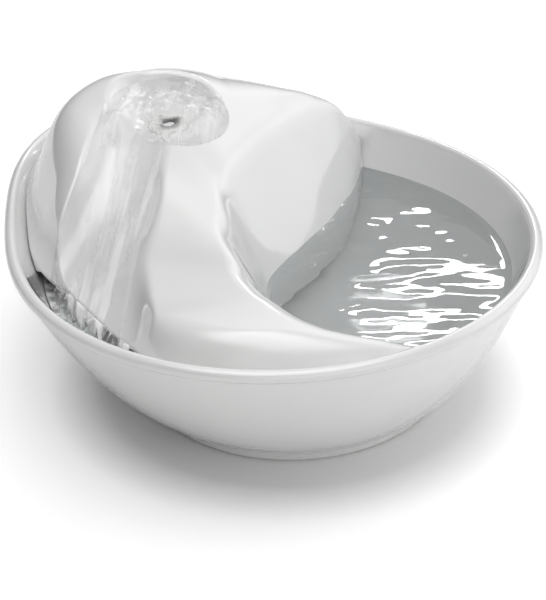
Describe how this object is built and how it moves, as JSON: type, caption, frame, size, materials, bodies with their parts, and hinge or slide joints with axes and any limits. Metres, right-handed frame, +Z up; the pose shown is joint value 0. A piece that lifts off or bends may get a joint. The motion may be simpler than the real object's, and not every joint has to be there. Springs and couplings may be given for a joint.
{
  "type": "pet water fountain",
  "caption": "Drop-shaped glazed ceramic pet water bowl with a wave-shaped cover, a bubbling dish and water slide, and a submersible filter pump under the cover.",
  "frame": {"origin": "on the ground under the middle of the bowl's bounding box", "axes": "+Z up; +Y towards the pointed end of the bowl, along its length; the water slide falls towards -X and the drinking pool lies at +X and -Y"},
  "size_m": [0.2538, 0.3028, 0.1277],
  "materials": {
    "glazed_ceramic": "gloss",
    "white_plastic": "satin",
    "grey_rubber": "matte",
    "clear_vinyl": "gloss",
    "housing_plastic": "satin",
    "foam": "matte",
    "charcoal": "matte",
    "pump_plastic": "satin",
    "core_steel": "satin",
    "coil_copper": "gloss",
    "epoxy": "gloss",
    "black_rubber": "matte",
    "shaft_ceramic": "gloss",
    "ferrite": "matte",
    "knob_plastic": "satin"
  },
  "bodies": {
    "bowl": {"bowl": "glazed_ceramic", "outlet_tube": "clear_vinyl", "filter_housing": "housing_plastic", "suction_cup_1": "grey_rubber", "suction_cup_2": "grey_rubber", "suction_cup_3": "grey_rubber", "suction_cup_4": "grey_rubber", "motor_case": "pump_plastic", "stator_core": "core_steel", "stator_coil": "coil_copper", "potting_block": "epoxy", "cable_gland": "black_rubber", "impeller_shaft": "shaft_ceramic", "rear_bush": "black_rubber", "front_bush": "black_rubber", "volute_cover": "pump_plastic", "volute_seal": "black_rubber"},
    "cover": {"cover": "glazed_ceramic", "outlet_grommet": "grey_rubber", "outlet_nozzle": "white_plastic"},
    "housing_lid": {"housing_lid": "housing_plastic"},
    "filter_cartridge": {"cartridge_frame": "white_plastic", "cartridge_grille": "white_plastic", "foam_pad": "foam", "charcoal_pad": "charcoal"},
    "flow_knob": {"flow_knob": "knob_plastic"},
    "rotor": {"rotor_magnet": "ferrite", "impeller": "white_plastic"}
  },
  "joints": [
    {"name": "cover_lift", "type": "slide", "parent": "bowl", "child": "cover", "axis": [0, 0, 1], "range_m": [0, 0.15]},
    {"name": "lid_lift", "type": "slide", "parent": "bowl", "child": "housing_lid", "axis": [0, 0, 1], "range_m": [0, 0.014]},
    {"name": "cartridge_pull", "type": "slide", "parent": "bowl", "child": "filter_cartridge", "axis": [0, 0, 1], "range_m": [0, 0.02]},
    {"name": "flow_adjust", "type": "hinge", "parent": "bowl", "child": "flow_knob", "pos_m": [-0.016, 0.0435, 0.039], "axis": [0, 1, 0], "range_deg": [0, 60]},
    {"name": "rotor_spin", "type": "hinge", "parent": "bowl", "child": "rotor", "pos_m": [-0.016, 0.0435, 0.039], "axis": [0, 1, 0], "continuous": true}
  ]
}
